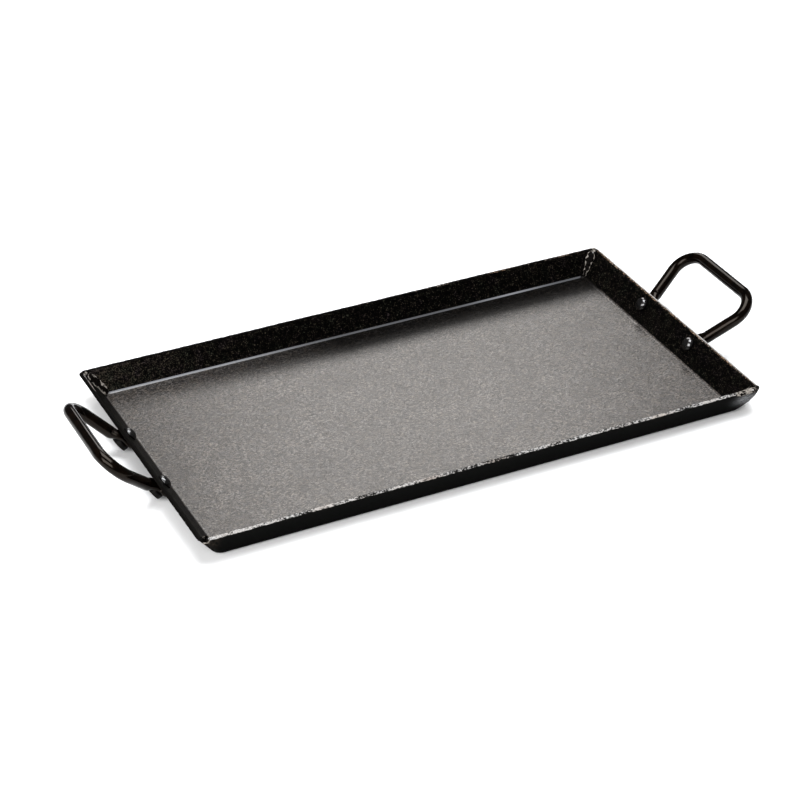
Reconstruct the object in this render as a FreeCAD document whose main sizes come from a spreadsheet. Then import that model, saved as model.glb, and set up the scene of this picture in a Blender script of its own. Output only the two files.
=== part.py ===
import FreeCAD, Part
import math
import os

import Sketcher

# Flat top griddle: a shallow tray folded from one steel sheet, with welded corners and a
# bent rod handle riveted to each end wall. +X runs along the tray towards the right
# handle, +Y towards the back, +Z up. The origin is the middle of the tray's underside.
# Sizes are millimetres and angles are degrees.

DIMENSIONS = [
    ("rim_length", 457.0, "outside length over the end rims"),
    ("rim_width", 251.0, "outside width over the long rims"),
    ("tray_height", 22.4, "underside to rim"),
    ("sheet", 3.0, "sheet thickness"),
    ("end_flare", 36.0, "lean of the two end walls from upright"),
    ("side_flare", 25.5, "lean of the two long walls from upright"),
    ("bend_inside", 1.5, "inside radius where the walls fold up"),
    ("corner_round", 6.0, "outside radius of the ground corners"),
    ("mitre_gap", 1.6, "gap between two walls at a corner"),
    ("mitre_foot", 4.5, "height at which the mitre gap starts"),
    ("bead_diameter", 9.0, "corner weld bead"),
    ("bead_inset", 2.2, "bead centre in from the corner line"),
    ("bead_drop", 1.4, "bead end below the rim"),
    ("rod_diameter", 9.5, "handle rod"),
    ("rivet_rise", 14.5, "rivet centre up the slope of the end wall"),
    ("rivet_spacing", 70.0, "between the two rivets of a handle"),
    ("paddle_thickness", 4.4, "hammered flat rod end"),
    ("paddle_width", 14.4, "width of the flat rod end"),
    ("paddle_top", 4.0, "flat end above the rivet centre"),
    ("paddle_drop", 2.0, "round tip's centre below the rivet centre"),
    ("elbow_rise", 7.5, "start of the round rod above the rivet centre"),
    ("elbow_offset", 4.95, "rod centre off the wall at the elbow"),
    ("elbow_spacing", 73.2, "between the two legs at the elbow"),
    ("grip_span", 102.4, "between the two legs, produced to the grip"),
    ("reach_left", 47.5, "left handle's elbow to its grip's centre line"),
    ("reach_right", 50.5, "the same for the right handle"),
    ("grip_bend", 17.0, "centre line radius of the grip's two bends"),
    ("lift_left", 44.0, "left handle above level"),
    ("lift_right", 35.5, "right handle above level"),
    ("shank_diameter", 5.2, "rivet shank"),
    ("rivet_hole", 5.8, "hole for the shank"),
    ("dome_diameter", 11.6, "rivet head inside the tray"),
    ("dome_height", 4.2, "height of that head"),
    ("peened_diameter", 12.6, "rivet head on the handle's flat end"),
    ("peened_height", 4.2, "height of that head"),
    ("seat_diameter", 13.2, "spot face in the rod around the formed head"),
    ("seat_depth", 4.8, "height of the spot face's wall over the flat end"),
    ("peened_edge", 0.6, "bevel round that head"),
]
D = {name: value for name, value, note in DIMENSIONS}

UP = FreeCAD.Vector(0, 0, 1)
ACROSS = FreeCAD.Vector(0, 1, 0)
CORNERS = {
    "front_left": (-1, -1),
    "front_right": (1, -1),
    "back_left": (-1, 1),
    "back_right": (1, 1),
}

doc = FreeCAD.newDocument("flat_top_griddle")
sheet = doc.addObject("Spreadsheet::Sheet", "dims")
for row, (name, value, note) in enumerate(DIMENSIONS, 1):
    sheet.set(f"A{row}", note)
    sheet.set(f"B{row}", str(value))
    sheet.setAlias(f"B{row}", name)
doc.recompute()

# Where each wall stands, as expressions of the driving sizes.
WALL_RISE = "(dims.tray_height - dims.sheet)"
FLOOR_X = (
    f"(dims.rim_length / 2 - dims.sheet / cos(dims.end_flare * 1 deg)"
    f" - {WALL_RISE} * tan(dims.end_flare * 1 deg))"
)
FLOOR_Y = (
    f"(dims.rim_width / 2 - dims.sheet / cos(dims.side_flare * 1 deg)"
    f" - {WALL_RISE} * tan(dims.side_flare * 1 deg))"
)
END_FLARE = math.radians(D["end_flare"])
SIDE_FLARE = math.radians(D["side_flare"])
RISE = D["tray_height"] - D["sheet"]
HALF_FLOOR_X = D["rim_length"] / 2 - D["sheet"] / math.cos(END_FLARE) - RISE * math.tan(END_FLARE)
HALF_FLOOR_Y = D["rim_width"] / 2 - D["sheet"] / math.cos(SIDE_FLARE) - RISE * math.tan(SIDE_FLARE)


def new_body(name):
    body = doc.addObject("PartDesign::Body", name)
    body.Label = name
    return body


def new_sketch(body, name, plane, placement=None):
    """A sketch on one of the body's own origin planes, moved by placement."""
    sketch = body.newObject("Sketcher::SketchObject", name)
    base = [f for f in body.Origin.OriginFeatures if f.Role == plane][0]
    sketch.AttachmentSupport = [(base, "")]
    sketch.MapMode = "FlatFace"
    if placement is not None:
        sketch.AttachmentOffset = placement
    return sketch


def fix_point(sketch, geometry, which, x, y):
    """Holds a point of the sketch at x, y, given as expressions."""
    for kind, expression in (("DistanceX", x), ("DistanceY", y)):
        point = sketch.getPoint(geometry, which)
        value = point.x if kind == "DistanceX" else point.y
        index = sketch.addConstraint(Sketcher.Constraint(kind, -1, 1, geometry, which, value))
        sketch.setExpression(f"Constraints[{index}]", expression)


def fix_radius(sketch, geometry, value, expression):
    index = sketch.addConstraint(Sketcher.Constraint("Radius", geometry, value))
    sketch.setExpression(f"Constraints[{index}]", expression)


def add_polygon(sketch, points):
    """A closed outline through points, each held by a pair of expressions."""
    guesses = [
        FreeCAD.Vector(float(sketch.evalExpression(x)), float(sketch.evalExpression(y)), 0)
        for x, y in points
    ]
    count = len(points)
    for i in range(count):
        sketch.addGeometry(Part.LineSegment(guesses[i], guesses[(i + 1) % count]), False)
    for i in range(count):
        sketch.addConstraint(Sketcher.Constraint("Coincident", i, 2, (i + 1) % count, 1))
    for i, (x, y) in enumerate(points):
        fix_point(sketch, i, 1, x, y)


def add_circle(sketch, x, y, radius):
    """A circle whose centre and radius are expressions."""
    centre = FreeCAD.Vector(float(sketch.evalExpression(x)), float(sketch.evalExpression(y)), 0)
    size = float(sketch.evalExpression(radius))
    circle = sketch.addGeometry(Part.Circle(centre, UP, size), False)
    fix_point(sketch, circle, 3, x, y)
    fix_radius(sketch, circle, size, radius)


def edges_where(feature, test):
    """Names of the feature's edges whose middle point passes the test."""
    names = []
    for i, edge in enumerate(feature.Shape.Edges, 1):
        middle = edge.valueAt((edge.FirstParameter + edge.LastParameter) / 2)
        if test(middle, edge):
            names.append(f"Edge{i}")
    return names


def round_edges(body, name, base, edges, expression):
    fillet = body.newObject("PartDesign::Fillet", name)
    fillet.Base = (base, edges)
    fillet.setExpression("Radius", expression)
    doc.recompute()
    return fillet


def end_wall_placement(side):
    """The frame of an end wall: origin on its outer face at rivet height, +X up the
    slope and +Z straight out of the wall. side is 1 for the right end, -1 for the left."""
    along = FreeCAD.Vector(math.sin(END_FLARE), 0, math.cos(END_FLARE))
    out = FreeCAD.Vector(math.cos(END_FLARE), 0, -math.sin(END_FLARE))
    foot = FreeCAD.Vector(HALF_FLOOR_X, 0, D["sheet"])
    origin = foot + along * D["rivet_rise"] + out * D["sheet"]
    tilt = FreeCAD.Rotation(ACROSS, 90 + D["end_flare"])
    frame = FreeCAD.Placement(origin, tilt * FreeCAD.Rotation(UP, 180))
    turned = FreeCAD.Placement(FreeCAD.Vector(), FreeCAD.Rotation(UP, 0 if side > 0 else 180))
    return turned * frame


def pocket_through(body, name, sketch):
    """A cut right through the body, both ways from the sketch."""
    pocket = body.newObject("PartDesign::Pocket", name)
    pocket.Profile = sketch
    pocket.Type = 1
    pocket.Midplane = True
    doc.recompute()
    return pocket


def build_pan():
    """The tray: a block with four sloped sides, rounded where the sheet folds, hollowed
    to the sheet's thickness, then opened along the corners and drilled for the rivets."""
    pan = new_body("griddle_pan")
    block_outline = new_sketch(pan, "pan_outline", "XY_Plane")
    corners = ((-1, -1), (1, -1), (1, 1), (-1, 1))
    add_polygon(
        block_outline,
        [(f"{sx} * dims.rim_length / 2", f"{sy} * dims.rim_width / 2") for sx, sy in corners],
    )
    doc.recompute()
    last = pan.newObject("PartDesign::Pad", "pan_block")
    last.Profile = block_outline
    last.setExpression("Length", "dims.tray_height")
    doc.recompute()

    for plane, span, flare in (
        ("XZ_Plane", "dims.rim_length", "dims.end_flare"),
        ("YZ_Plane", "dims.rim_width", "dims.side_flare"),
    ):
        for sign, label in ((-1, "low"), (1, "high")):
            foot = f"{sign} * ({span} / 2 - dims.tray_height * tan({flare} * 1 deg))"
            waste = new_sketch(pan, f"slope_{plane[:2]}_{label}", plane)
            add_polygon(
                waste,
                [
                    (foot, "0"),
                    (f"{sign} * {span} / 2", "dims.tray_height"),
                    (f"{sign} * {span}", "dims.tray_height"),
                    (f"{sign} * {span}", "-dims.tray_height"),
                    (foot, "-dims.tray_height"),
                ],
            )
            doc.recompute()
            before = last.Shape.Volume
            last = pocket_through(pan, f"pan_slope_{plane[:2]}_{label}", waste)
            if not before - last.Shape.Volume > 10000:
                raise ValueError(f"the {label} slope across {plane} was not cut")

    def is_corner(middle, edge):
        return 1 < middle.z < D["tray_height"] - 1

    corner_edges = edges_where(last, is_corner)
    ground = round_edges(pan, "pan_corners", last, corner_edges, "dims.corner_round")
    underside = edges_where(ground, lambda middle, edge: abs(middle.z) < 0.01)
    folded = round_edges(pan, "pan_folds", ground, underside, "dims.bend_inside + dims.sheet")

    mouth = [
        f"Face{i}"
        for i, face in enumerate(folded.Shape.Faces, 1)
        if face.BoundBox.ZMin > D["tray_height"] - 0.01
    ]
    hollow = pan.newObject("PartDesign::Thickness", "pan_sheet")
    hollow.Base = (folded, mouth)
    hollow.setExpression("Value", "dims.sheet")
    hollow.Reversed = True
    hollow.Mode = 0
    hollow.Join = 0
    doc.recompute()

    gaps = new_sketch(pan, "mitre_gaps", "XY_Plane")
    gaps.setExpression("AttachmentOffset.Base.z", "dims.mitre_foot")
    lean = "atan(tan(dims.side_flare * 1 deg) / tan(dims.end_flare * 1 deg))"
    first = 0
    for sx, sy in CORNERS.values():
        near_x, near_y = f"{sx} * {FLOOR_X}", f"{sy} * {FLOOR_Y}"
        step_x = f"{sx} * sin({lean}) * dims.mitre_gap / 2"
        step_y = f"{sy} * cos({lean}) * dims.mitre_gap / 2"
        far_x = f"{sx} * ({FLOOR_X} + 30 * cos({lean}))"
        far_y = f"{sy} * ({FLOOR_Y} + 30 * sin({lean}))"
        points = [
            (f"{near_x} + {step_x}", f"{near_y} - {step_y}"),
            (f"{far_x} + {step_x}", f"{far_y} - {step_y}"),
            (f"{far_x} - {step_x}", f"{far_y} + {step_y}"),
            (f"{near_x} - {step_x}", f"{near_y} + {step_y}"),
        ]
        guesses = [
            FreeCAD.Vector(float(gaps.evalExpression(x)), float(gaps.evalExpression(y)), 0)
            for x, y in points
        ]
        for i in range(4):
            gaps.addGeometry(Part.LineSegment(guesses[i], guesses[(i + 1) % 4]), False)
        for i in range(4):
            following = first + (i + 1) % 4
            gaps.addConstraint(Sketcher.Constraint("Coincident", first + i, 2, following, 1))
        for i, (x, y) in enumerate(points):
            fix_point(gaps, first + i, 1, x, y)
        first += 4
    doc.recompute()
    before = hollow.Shape.Volume
    mitre = pan.newObject("PartDesign::Pocket", "pan_mitres")
    mitre.Profile = gaps
    mitre.setExpression("Length", "dims.tray_height")
    mitre.Reversed = True
    doc.recompute()
    if not 0 < before - mitre.Shape.Volume < before / 50:
        raise ValueError("the mitre gaps did not cut the corners")

    last = mitre
    for side, label in ((1, "right"), (-1, "left")):
        holes = new_sketch(pan, f"pan_holes_{label}", "XY_Plane", end_wall_placement(side))
        for sy in (-1, 1):
            add_circle(holes, "0", f"{sy} * dims.rivet_spacing / 2", "dims.rivet_hole / 2")
        doc.recompute()
        before = last.Shape.Volume
        last = pan.newObject("PartDesign::Pocket", f"pan_rivet_holes_{label}")
        last.Profile = holes
        last.setExpression("Length", "dims.sheet + 2")
        doc.recompute()
        if not before - last.Shape.Volume > 100:
            raise ValueError(f"the {label} rivet holes did not cut the wall")
    return pan


def build_corner_welds(pan):
    """A bead in each corner, cut to the walls it joins, that also fills the mitre gap."""
    made = []
    for label, (sx, sy) in CORNERS.items():
        foot = FreeCAD.Vector(sx * HALF_FLOOR_X, sy * HALF_FLOOR_Y, D["sheet"])
        lean_x, lean_y = math.tan(END_FLARE), math.tan(SIDE_FLARE)
        up_corner = FreeCAD.Vector(sx * lean_x, sy * lean_y, 1)
        inwards = FreeCAD.Vector(-sx, -sy, 0)
        inwards.normalize()
        start = foot + inwards * D["bead_inset"] - up_corner * D["sheet"]
        bead = doc.addObject("Part::Cylinder", f"bead_{label}")
        bead.setExpression("Radius", "dims.bead_diameter / 2")
        bead.setExpression("Height", "dims.tray_height * 2")
        bead.Placement = FreeCAD.Placement(start, FreeCAD.Rotation(UP, up_corner))
        window = doc.addObject("Part::Box", f"bead_window_{label}")
        window.setExpression("Length", "dims.bead_diameter * 6")
        window.setExpression("Width", "dims.bead_diameter * 6")
        window.setExpression("Height", "dims.tray_height - dims.sheet - dims.bead_drop")
        half = D["bead_diameter"] * 3
        window.Placement = FreeCAD.Placement(
            FreeCAD.Vector(foot.x - half, foot.y - half, D["sheet"]), FreeCAD.Rotation()
        )
        trimmed = doc.addObject("Part::Common", f"bead_trimmed_{label}")
        trimmed.Base = bead
        trimmed.Tool = window
        weld = doc.addObject("Part::Cut", f"corner_weld_{label}")
        weld.Label = f"corner_weld_{label}"
        weld.Base = trimmed
        weld.Tool = pan
        made.append(weld)
    doc.recompute()
    return made


def build_handle(label, side):
    """A rod bent into a loop, with its two ends hammered flat and drilled. It is drawn
    in the end wall's own frame as the back half, then mirrored."""
    handle = new_body(f"handle_{label}")
    bend = 90 - D["end_flare"] - D[f"lift_{label}"]
    from_wall = f"(90 - dims.end_flare - dims.lift_{label}) * 1 deg"
    elbow = FreeCAD.Vector(D["elbow_rise"], 0, D["elbow_offset"])
    loop_plane = FreeCAD.Placement(elbow, FreeCAD.Rotation(ACROSS, -bend))

    path = new_sketch(handle, f"loop_path_{label}", "XY_Plane", loop_plane)
    reach, grip_y = D[f"reach_{label}"], D["grip_span"] / 2
    elbow_y, radius = D["elbow_spacing"] / 2, D["grip_bend"]
    splay = math.atan2(grip_y - elbow_y, reach)
    setback = radius * math.tan((math.pi / 2 + splay) / 2)
    grip_end = FreeCAD.Vector(reach, grip_y - setback, 0)
    leg_end = FreeCAD.Vector(
        reach - setback * math.cos(splay), grip_y - setback * math.sin(splay), 0
    )
    centre = FreeCAD.Vector(reach - radius, grip_y - setback, 0)
    half_turn = (math.pi / 2 + splay) / 2
    arc_middle = centre + FreeCAD.Vector(math.cos(half_turn), math.sin(half_turn), 0) * radius
    path.addGeometry(Part.LineSegment(FreeCAD.Vector(reach, 0, 0), grip_end), False)
    path.addGeometry(Part.Arc(grip_end, arc_middle, leg_end), False)
    path.addGeometry(Part.LineSegment(leg_end, FreeCAD.Vector(0, elbow_y, 0)), False)
    path.addConstraint(Sketcher.Constraint("Tangent", 0, 2, 1, 1))
    path.addConstraint(Sketcher.Constraint("Tangent", 1, 2, 2, 1))
    path.addConstraint(Sketcher.Constraint("Vertical", 0))
    path.addConstraint(Sketcher.Constraint("PointOnObject", 0, 1, -1))
    fix_radius(path, 1, radius, "dims.grip_bend")
    fix_point(path, 2, 2, "0", "dims.elbow_spacing / 2")
    index = path.addConstraint(Sketcher.Constraint("DistanceX", -1, 1, 0, 1, reach))
    path.setExpression(f"Constraints[{index}]", f"dims.reach_{label}")
    index = path.addConstraint(Sketcher.Constraint("DistanceY", -1, 1, 1, 3, centre.y))
    splay_angle = f"atan((dims.grip_span - dims.elbow_spacing) / 2 / dims.reach_{label})"
    path.setExpression(
        f"Constraints[{index}]",
        f"dims.grip_span / 2 - dims.grip_bend * tan((90 deg + {splay_angle}) / 2)",
    )
    doc.recompute()

    rod = new_sketch(handle, f"rod_section_{label}", "XZ_Plane")
    grip_x = f"dims.elbow_rise + dims.reach_{label} * cos({from_wall})"
    grip_z = f"dims.elbow_offset + dims.reach_{label} * sin({from_wall})"
    add_circle(rod, grip_x, grip_z, "dims.rod_diameter / 2")
    doc.recompute()
    loop = handle.newObject("PartDesign::AdditivePipe", f"loop_{label}")
    loop.Profile = rod
    loop.Spine = (path, ["Edge1", "Edge2", "Edge3"])
    doc.recompute()

    slope = f"(dims.grip_span - dims.elbow_spacing) / 2 / dims.reach_{label}"
    stations = {
        "neck_round": ("dims.elbow_rise + 2.5", 2.5),
        "neck_flat": ("-0.6", None),
    }
    sections = {}
    for name, (position, beyond) in stations.items():
        sketch = new_sketch(handle, f"{name}_{label}", "YZ_Plane")
        sketch.setExpression("AttachmentOffset.Base.z", position)
        if beyond is None:
            half_y, half_z = "dims.paddle_width / 2 * 0.86", "dims.paddle_thickness / 2 * 0.86"
            y = "dims.rivet_spacing / 2 + 0.6"
            z = "dims.paddle_thickness / 2"
        else:
            half_y, half_z = "dims.rod_diameter / 2 * 0.97", "dims.rod_diameter / 2 * 0.96"
            y = f"dims.elbow_spacing / 2 + {beyond} * {slope} / cos({from_wall})"
            z = f"dims.elbow_offset + {beyond} * tan({from_wall})"
        middle = FreeCAD.Vector(
            float(sketch.evalExpression(y)), float(sketch.evalExpression(z)), 0
        )
        major = float(sketch.evalExpression(half_y))
        minor = float(sketch.evalExpression(half_z))
        ellipse = Part.Ellipse(middle, major, minor)
        sketch.addGeometry(ellipse, False)
        fix_point(sketch, 0, 3, y, z)
        sections[name] = sketch
    doc.recompute()
    neck = handle.newObject("PartDesign::AdditiveLoft", f"neck_{label}")
    neck.Profile = sections["neck_round"]
    neck.Sections = [sections["neck_flat"]]
    doc.recompute()

    paddle = new_sketch(handle, f"paddle_outline_{label}", "XY_Plane")
    half = D["paddle_width"] / 2
    middle_y = D["rivet_spacing"] / 2
    top, low_x = D["paddle_top"], -D["paddle_drop"]
    left, right = middle_y - half, middle_y + half
    paddle.addGeometry(
        Part.Arc(
            FreeCAD.Vector(low_x, left, 0),
            FreeCAD.Vector(low_x - half, middle_y, 0),
            FreeCAD.Vector(low_x, right, 0),
        ),
        False,
    )
    paddle.addGeometry(
        Part.LineSegment(FreeCAD.Vector(low_x, right, 0), FreeCAD.Vector(top, right, 0)), False
    )
    paddle.addGeometry(
        Part.LineSegment(FreeCAD.Vector(top, right, 0), FreeCAD.Vector(top, left, 0)), False
    )
    paddle.addGeometry(
        Part.LineSegment(FreeCAD.Vector(top, left, 0), FreeCAD.Vector(low_x, left, 0)), False
    )
    for a, a_point, b, b_point in ((0, 1, 3, 2), (0, 2, 1, 1), (1, 2, 2, 1), (2, 2, 3, 1)):
        paddle.addConstraint(Sketcher.Constraint("Coincident", a, a_point, b, b_point))
    fix_point(paddle, 0, 3, "-dims.paddle_drop", "dims.rivet_spacing / 2")
    fix_radius(paddle, 0, half, "dims.paddle_width / 2")
    low = "dims.rivet_spacing / 2 - dims.paddle_width / 2"
    high = "dims.rivet_spacing / 2 + dims.paddle_width / 2"
    fix_point(paddle, 2, 1, "dims.paddle_top", high)
    fix_point(paddle, 2, 2, "dims.paddle_top", low)
    for edge, end in ((1, 1), (3, 2)):
        index = paddle.addConstraint(Sketcher.Constraint("DistanceX", edge, end, -1, 1, -low_x))
        paddle.setExpression(f"Constraints[{index}]", "dims.paddle_drop")
    doc.recompute()
    flat = handle.newObject("PartDesign::Pad", f"paddle_{label}")
    flat.Profile = paddle
    flat.setExpression("Length", "dims.paddle_thickness")
    doc.recompute()

    hole = new_sketch(handle, f"paddle_hole_{label}", "XY_Plane")
    add_circle(hole, "0", "dims.rivet_spacing / 2", "dims.rivet_hole / 2")
    doc.recompute()
    drilled = handle.newObject("PartDesign::Pocket", f"drilled_{label}")
    drilled.Profile = hole
    drilled.setExpression("Length", "dims.paddle_thickness + 1")
    drilled.Reversed = True
    drilled.Refine = False
    doc.recompute()
    if not flat.Shape.Volume - drilled.Shape.Volume > 50:
        raise ValueError(f"handle_{label} was not drilled")

    seat = new_sketch(handle, f"rivet_seat_{label}", "XY_Plane")
    seat.setExpression("AttachmentOffset.Base.z", "dims.paddle_thickness")
    add_circle(seat, "0", "dims.rivet_spacing / 2", "dims.seat_diameter / 2")
    doc.recompute()
    faced = handle.newObject("PartDesign::Pocket", f"spot_faced_{label}")
    faced.Profile = seat
    faced.setExpression("Length", "dims.seat_depth")
    faced.Reversed = True
    faced.Refine = False
    doc.recompute()
    if not drilled.Shape.Volume - faced.Shape.Volume > 20:
        raise ValueError(f"handle_{label} has no rivet seat")

    both = handle.newObject("PartDesign::Mirrored", f"both_legs_{label}")
    both.TransformMode = "Whole shape"
    both.Refine = False
    mirror = [f for f in handle.Origin.OriginFeatures if f.Role == "XZ_Plane"][0]
    both.MirrorPlane = (mirror, [""])
    handle.Tip = both
    handle.Placement = end_wall_placement(side)
    doc.recompute()
    return handle


def build_rivet(label, side, sy):
    """A rivet: domed head inside the tray, shank, and flat formed head on the paddle."""
    rivet = new_body(f"rivet_{label}")
    profile = new_sketch(rivet, f"rivet_profile_{label}", "XZ_Plane")
    shank = "dims.shank_diameter / 2"
    inner_face = "-dims.sheet"
    outer_face = "dims.paddle_thickness"
    peened = "dims.peened_diameter / 2"
    top = "dims.paddle_thickness + dims.peened_height"
    points = [
        ("0", f"{inner_face} - dims.dome_height"),
        ("dims.dome_diameter / 2", inner_face),
        (shank, inner_face),
        (shank, outer_face),
        (peened, outer_face),
        (peened, f"{top} - dims.peened_edge"),
        (f"{peened} - dims.peened_edge", top),
        ("0", top),
    ]
    at = [
        FreeCAD.Vector(float(profile.evalExpression(x)), float(profile.evalExpression(z)), 0)
        for x, z in points
    ]
    sphere = (D["dome_diameter"] ** 2 / 4 + D["dome_height"] ** 2) / (2 * D["dome_height"])
    centre = FreeCAD.Vector(0, at[0].y + sphere, 0)
    half_angle = math.asin(D["dome_diameter"] / 2 / sphere) / 2
    shoulder = centre + FreeCAD.Vector(math.sin(half_angle), -math.cos(half_angle), 0) * sphere
    profile.addGeometry(Part.Arc(at[0], shoulder, at[1]), False)
    for i in range(1, len(points)):
        profile.addGeometry(Part.LineSegment(at[i], at[(i + 1) % len(points)]), False)
    count = len(points)
    for i in range(count):
        profile.addConstraint(Sketcher.Constraint("Coincident", i, 2, (i + 1) % count, 1))
    for i, (x, z) in enumerate(points):
        fix_point(profile, i, 1, x, z)
    profile.addConstraint(Sketcher.Constraint("PointOnObject", 0, 3, -2))
    doc.recompute()
    turned = rivet.newObject("PartDesign::Revolution", f"rivet_turned_{label}")
    turned.Profile = profile
    turned.ReferenceAxis = (profile, ["V_Axis"])
    turned.Angle = 360
    doc.recompute()
    beside = FreeCAD.Placement(
        FreeCAD.Vector(0, sy * D["rivet_spacing"] / 2, 0), FreeCAD.Rotation()
    )
    rivet.Placement = end_wall_placement(side) * beside
    doc.recompute()
    return rivet


pan = build_pan()
nodes = [pan]
nodes += build_corner_welds(pan)
for label, side in (("left", -1), ("right", 1)):
    nodes.append(build_handle(label, side))
    # The end wall's frame has its +Y towards the tray's front on the right side and
    # towards its back on the left, so the sign picks the rivet nearer the front.
    nodes.append(build_rivet(f"{label}_front", side, side))
    nodes.append(build_rivet(f"{label}_back", side, -side))
doc.recompute()

for item in doc.Objects:
    if {"Invalid", "Error"} & set(item.State):
        raise ValueError(f"{item.Name} did not build: {item.State}")
    shape = getattr(item, "Shape", None)
    if item.isDerivedFrom("PartDesign::Feature") or item in nodes:
        if shape is None or shape.isNull() or not shape.isValid():
            raise ValueError(f"{item.Name} has no valid shape")

os.makedirs("parts", exist_ok=True)
for node in nodes:
    if len(node.Shape.Solids) != 1:
        raise ValueError(f"{node.Label} is {len(node.Shape.Solids)} solids, not one")
    node.Shape.exportStep(f"parts/{node.Label}.step")
    box = node.Shape.BoundBox
    print(
        f"{node.Label}: {node.Shape.Volume / 1000:.2f} cm3,"
        f" x {box.XMin:.1f}..{box.XMax:.1f}, y {box.YMin:.1f}..{box.YMax:.1f},"
        f" z {box.ZMin:.1f}..{box.ZMax:.1f}"
    )
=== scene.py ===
import math

import bmesh
import bpy
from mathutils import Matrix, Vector, noise


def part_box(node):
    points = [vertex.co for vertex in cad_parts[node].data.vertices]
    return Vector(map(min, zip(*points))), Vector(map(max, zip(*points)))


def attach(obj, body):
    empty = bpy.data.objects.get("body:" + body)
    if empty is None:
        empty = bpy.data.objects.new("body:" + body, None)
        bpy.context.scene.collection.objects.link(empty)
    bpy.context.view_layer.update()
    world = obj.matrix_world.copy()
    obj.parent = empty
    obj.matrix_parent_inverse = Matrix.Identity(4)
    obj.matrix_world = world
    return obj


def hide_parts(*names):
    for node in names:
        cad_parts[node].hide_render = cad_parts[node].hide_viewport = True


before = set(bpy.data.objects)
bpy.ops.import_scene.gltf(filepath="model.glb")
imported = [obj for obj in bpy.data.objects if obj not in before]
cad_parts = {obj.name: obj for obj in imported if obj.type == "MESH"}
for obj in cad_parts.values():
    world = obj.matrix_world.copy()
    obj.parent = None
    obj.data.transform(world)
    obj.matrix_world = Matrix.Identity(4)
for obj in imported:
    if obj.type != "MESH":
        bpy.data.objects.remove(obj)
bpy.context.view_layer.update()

# ---------------------------------------------------------------- sizes, in millimetres
MM = 0.001
RIM_X, RIM_Y, RIM_Z = (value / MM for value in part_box("griddle_pan")[1])
SHEET = 3.0

# How far the end walls and the long walls lean out from upright.
END_FLARE = math.radians(36)
SIDE_FLARE = math.radians(25.5)

# Radii of the fold between floor and wall, then of the corners in plan.
OUTER_BEND = 4.5
INNER_BEND = 2.4
OUTER_CORNER = 6.0
INNER_CORNER = 3.0

# The corner slits start to open at this height, over this rise.
MITRE_FOOT = 4.5
MITRE_EASE = 3.0

# How far the cut edge slopes down from its inner to its outer side.
RIM_FALL = 1.5

# The rivets, up the wall's slope from the floor and sideways from the middle.
RIVET_RISE = 14.5
RIVET_Y = 35.0

# The handles' hammered flat ends. Above the rivet they stay flat for PADDLE_FLAT, and
# the middle of their rounded tip is PADDLE_DROP below it.
PADDLE_THICK = 4.4
PADDLE_HALF = 7.2
PADDLE_FLAT = 2.4
PADDLE_DROP = 2.0

# The neck runs up from the flat end, turns, and runs out into the round leg.
NECK_RISE = 3.6
NECK_UP = 5.4
NECK_OUT = 4.5

# The elbow, from the rivet's place on the wall, then the grip beyond it.
ELBOW_RISE = 7.5
ELBOW_OFFSET = 4.95
ELBOW_Y = 36.6
GRIP_Y = 51.2
GRIP_REACH = {"left": 47.5, "right": 50.48}
GRIP_BEND = 17.0
ROD_RADIUS = 4.75
LIFT = {"left": math.radians(44), "right": math.radians(35.5)}

# A rivet's dome inside the tray, its shank and its flat head outside.
DOME_RADIUS = 5.8
DOME_HEIGHT = 4.2
SHANK_RADIUS = 2.6
HEAD_RADIUS = 6.3
HEAD_HEIGHT = 4.2

# The painted shade along the back of the floor, standing for its reflection of the dark back wall:
# where it starts and is full, and where along X it is faintest and darkest.
BAND_Y = (70, 95)
BAND_X = (-225, -15)


# ---------------------------------------------------------------- small helpers
# Points of one piece that are nearer than this, in metres, become one.
MERGE_DISTANCE = 1e-7


def wobble(x, y, z, size, seed=0.0):
    """Smooth noise from -1 to 1 whose bumps are about `size` millimetres across."""
    point = Vector((x / size + seed, y / size - seed * 0.7, z / size + seed * 1.3))
    return noise.noise(point) * 1.6


def ease(t):
    """0 to 1 with a soft start and end."""
    t = min(max(t, 0.0), 1.0)
    return t * t * (3 - 2 * t)


def bell(value, middle, spread):
    """1 at the middle, fading smoothly to almost 0 at two spreads from it."""
    return math.exp(-(((value - middle) / spread) ** 2))


def ring_faces(first, second, count):
    """The quads between two rings of points, given where each ring starts."""
    quads = []
    for j in range(count):
        n = (j + 1) % count
        quads.append((first + j, first + n, second + n, second + j))
    return quads


def make_piece(name, points, faces, materials, indices=None, attributes=None):
    """A smooth-shaded mesh object from points in millimetres."""
    mesh = bpy.data.meshes.new(name)
    mesh.from_pydata([(x * MM, y * MM, z * MM) for x, y, z in points], [], faces)
    for material in materials:
        mesh.materials.append(material)
    for key, values in (attributes or {}).items():
        layer = mesh.attributes.new(key, "FLOAT", "POINT")
        layer.data.foreach_set("value", values)
    for i, polygon in enumerate(mesh.polygons):
        polygon.use_smooth = True
        if indices:
            polygon.material_index = indices[i]
    piece = bpy.data.objects.new(name, mesh)
    bpy.context.scene.collection.objects.link(piece)
    work = bmesh.new()
    work.from_mesh(mesh)
    bmesh.ops.remove_doubles(work, verts=work.verts, dist=MERGE_DISTANCE)
    bmesh.ops.recalc_face_normals(work, faces=work.faces)
    work.to_mesh(mesh)
    work.free()
    return piece


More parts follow.
